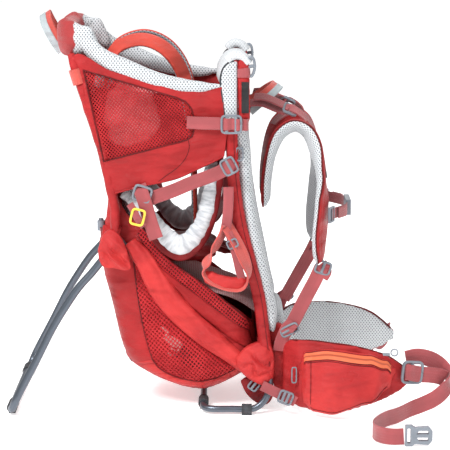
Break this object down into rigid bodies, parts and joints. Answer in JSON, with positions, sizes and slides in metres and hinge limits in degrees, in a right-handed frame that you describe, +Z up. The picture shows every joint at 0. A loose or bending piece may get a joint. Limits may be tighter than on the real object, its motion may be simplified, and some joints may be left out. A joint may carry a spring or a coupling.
{
  "type": "baby carrier backpack",
  "caption": "Framed child carrier backpack with fabric cockpit, storage bag, padded harness and hip belt, foot stirrups and a folding kickstand.",
  "frame": {"origin": "on the floor, in the carrier's middle plane, below the cockpit's front edge", "axes": "+X to the wearer, +Y to the wearer's left, +Z up"},
  "size_m": [0.8, 0.508, 0.7151],
  "materials": {
    "tube": "anodised satin",
    "hinge_metal": "satin",
    "zip_metal": "polished",
    "rubber": "matt",
    "buckle": "moulded satin",
    "ring_plastic": "moulded",
    "red_fabric": "plain weave polyamide",
    "webbing": "woven webbing",
    "coral_fabric": "padded webbing",
    "air_mesh": "spacer mesh",
    "cord": "braided cord"
  },
  "bodies": {
    "frame": {"frame_tube_right": "tube", "frame_tube_left": "tube", "crossbars": "tube", "base_loop": "tube", "base_feet": "rubber", "seat_tube_right": "tube", "seat_tube_left": "tube", "pivot_brackets": "buckle", "pivot_pins": "hinge_metal", "headrest_stay": "tube", "headrest": "air_mesh", "cockpit_wall_right": "red_fabric", "cockpit_wall_left": "red_fabric", "rear_panel": "red_fabric", "collar_right": "air_mesh", "collar_left": "air_mesh", "chin_pad": "air_mesh", "storage_bag": "red_fabric", "back_pad_right": "air_mesh", "back_pad_left": "air_mesh", "lumbar_pad": "air_mesh", "back_panel": "red_fabric", "leg_cuff_right": "air_mesh", "leg_cuff_left": "air_mesh", "side_straps": "webbing", "side_adjusters": "buckle", "entry_straps": "webbing", "entry_rings": "buckle", "pull_ring": "ring_plastic", "front_handle": "webbing", "rear_handle": "webbing", "harness_rail": "buckle", "cord_lock": "buckle", "drawcord": "cord"},
    "kickstand": {"kickstand_tube": "tube", "kickstand_hubs": "buckle", "kickstand_feet": "rubber"},
    "harness": {"harness_yoke": "buckle", "shoulder_strap_right": "red_fabric", "shoulder_strap_left": "red_fabric", "load_lifters": "webbing", "strap_ladder_locks": "buckle", "lower_straps": "webbing"},
    "sternum": {"sternum_webbing": "webbing", "sternum_hardware": "buckle"},
    "hip_right": {"hip_fin_right": "red_fabric", "hip_pocket": "red_fabric", "waist_ladder_lock": "buckle", "waist_strap_right": "webbing", "waist_buckle_male": "buckle"},
    "zip": {"zip_puller": "zip_metal"},
    "hip_left": {"hip_fin_left": "red_fabric", "waist_strap_left": "webbing", "waist_buckle_female": "buckle"},
    "seat": {"seat_cushion": "red_fabric", "seat_back": "red_fabric", "child_harness": "webbing"},
    "stirrup_r": {"stirrup_right": "coral_fabric"},
    "stirrup_l": {"stirrup_left": "coral_fabric"},
    "button": {"cord_lock_button": "rubber"}
  },
  "joints": [
    {"name": "kickstand_fold", "type": "hinge", "parent": "frame", "child": "kickstand", "pos_m": [-0.198, 0, 0.305], "axis": [0, -1, 0], "range_deg": [0, 54]},
    {"name": "harness_height", "type": "slide", "parent": "frame", "child": "harness", "axis": [-0.13, 0, 0.9915], "range_m": [-0.035, 0.04], "deforming": ["lower_straps", "load_lifters"]},
    {"name": "sternum_height", "type": "slide", "parent": "harness", "child": "sternum", "axis": [0, 0, 1], "range_m": [-0.025, 0.025]},
    {"name": "hip_flex_right", "type": "hinge", "parent": "frame", "child": "hip_right", "pos_m": [0.104, -0.112, 0.08], "axis": [0, 0, 1], "range_deg": [-10, 16]},
    {"name": "hip_flex_left", "type": "hinge", "parent": "frame", "child": "hip_left", "pos_m": [0.104, 0.112, 0.08], "axis": [0, 0, -1], "range_deg": [-10, 16]},
    {"name": "zip_slide", "type": "slide", "parent": "hip_right", "child": "zip", "axis": [-1, 0, 0], "range_m": [0, 0.022]},
    {"name": "seat_height", "type": "slide", "parent": "frame", "child": "seat", "axis": [-0.2456, 0, 0.9694], "range_m": [-0.018, 0.035]},
    {"name": "stirrup_right_height", "type": "slide", "parent": "frame", "child": "stirrup_r", "axis": [0, 0, 1], "range_m": [-0.04, 0.03]},
    {"name": "stirrup_left_height", "type": "slide", "parent": "frame", "child": "stirrup_l", "axis": [0, 0, 1], "range_m": [-0.04, 0.03]},
    {"name": "cord_lock_press", "type": "slide", "parent": "frame", "child": "button", "axis": [0, 0, -1], "range_m": [0, 0.003], "stiffness_N_per_m": 400}
  ]
}
